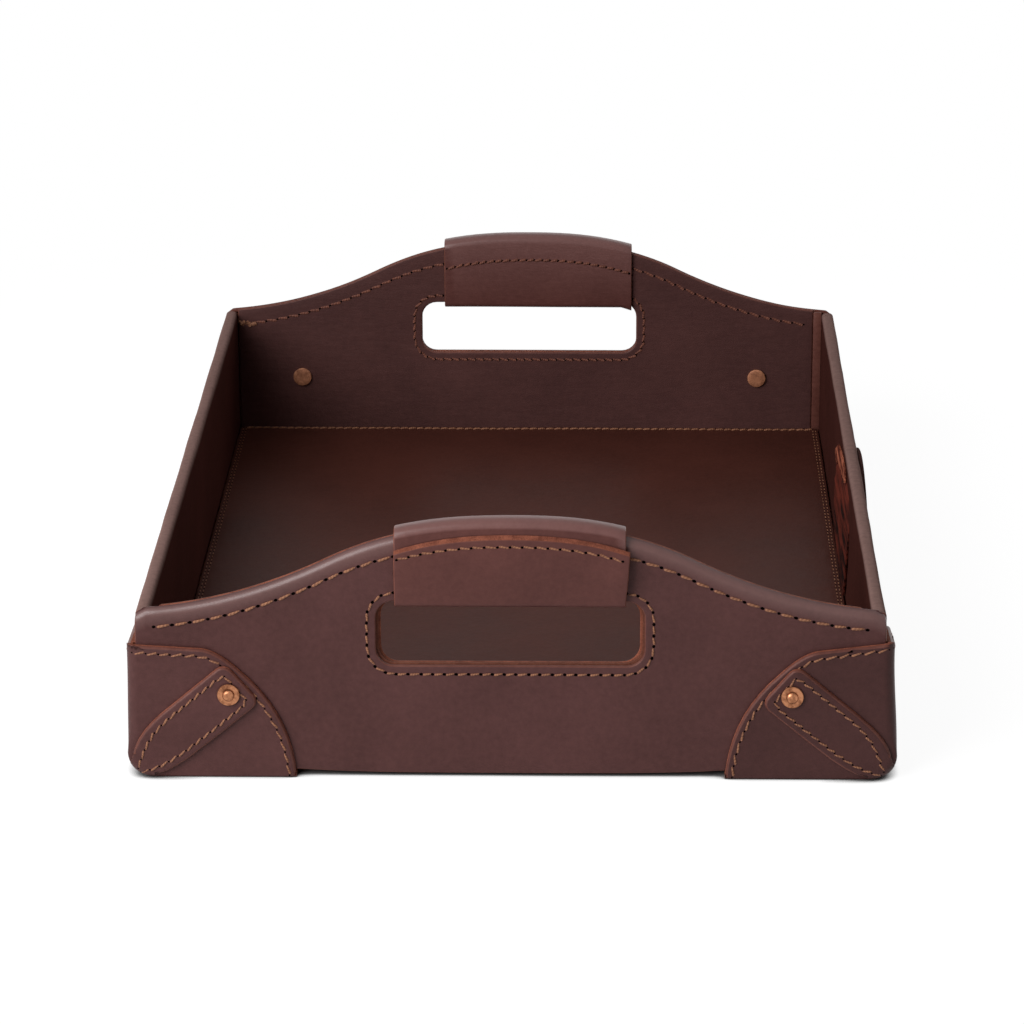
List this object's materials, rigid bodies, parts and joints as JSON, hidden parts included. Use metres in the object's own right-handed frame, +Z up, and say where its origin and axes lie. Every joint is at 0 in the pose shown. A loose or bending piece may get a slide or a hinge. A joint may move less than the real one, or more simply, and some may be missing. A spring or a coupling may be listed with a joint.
{
  "type": "serving tray",
  "caption": "Rectangular leather serving tray with arched end walls, wrapped hand grips over cut-out slots, low folded sides and riveted corner guards, for carrying food and drinks.",
  "frame": {"origin": "on the table, under the middle of the tray", "axes": "+Z up, +Y along the tray from the front end wall to the rear one, +X across it"},
  "size_m": [0.3604, 0.5196, 0.1291],
  "materials": {
    "outer_leather": "coffee brown full-grain leather, waxed",
    "lining_leather": "brown lining leather, satin",
    "grip_leather": "brown leather polished by handling",
    "raw_leather": "raw reddish flesh side and cut edges",
    "stiff_board": "brown bonded leather board",
    "copper": "worn copper"
  },
  "bodies": {
    "root": {"front_skin": "outer_leather", "front_board": "stiff_board", "front_lining": "lining_leather", "front_grip": "grip_leather", "front_grip_pad": "stiff_board", "rear_skin": "outer_leather", "rear_board": "stiff_board", "rear_lining": "lining_leather", "rear_grip": "grip_leather", "rear_grip_pad": "stiff_board", "left_wall": "outer_leather", "left_board": "stiff_board", "right_wall": "outer_leather", "right_board": "stiff_board", "base_skin": "outer_leather", "base_board": "stiff_board", "floor_lining": "lining_leather", "corner_guard_front_left": "outer_leather", "corner_guard_front_right": "outer_leather", "corner_guard_rear_left": "outer_leather", "corner_guard_rear_right": "outer_leather", "corner_strap_front_left": "outer_leather", "corner_strap_front_right": "outer_leather", "corner_strap_rear_left": "outer_leather", "corner_strap_rear_right": "outer_leather", "rivet_front_left": "copper", "rivet_front_right": "copper", "rivet_rear_left": "copper", "rivet_rear_right": "copper", "burr_front_left": "copper", "burr_front_right": "copper", "burr_rear_left": "copper", "burr_rear_right": "copper", "right_patch_outer": "outer_leather", "right_patch_inner": "raw_leather", "right_patch_facing": "raw_leather"}
  },
  "joints": []
}
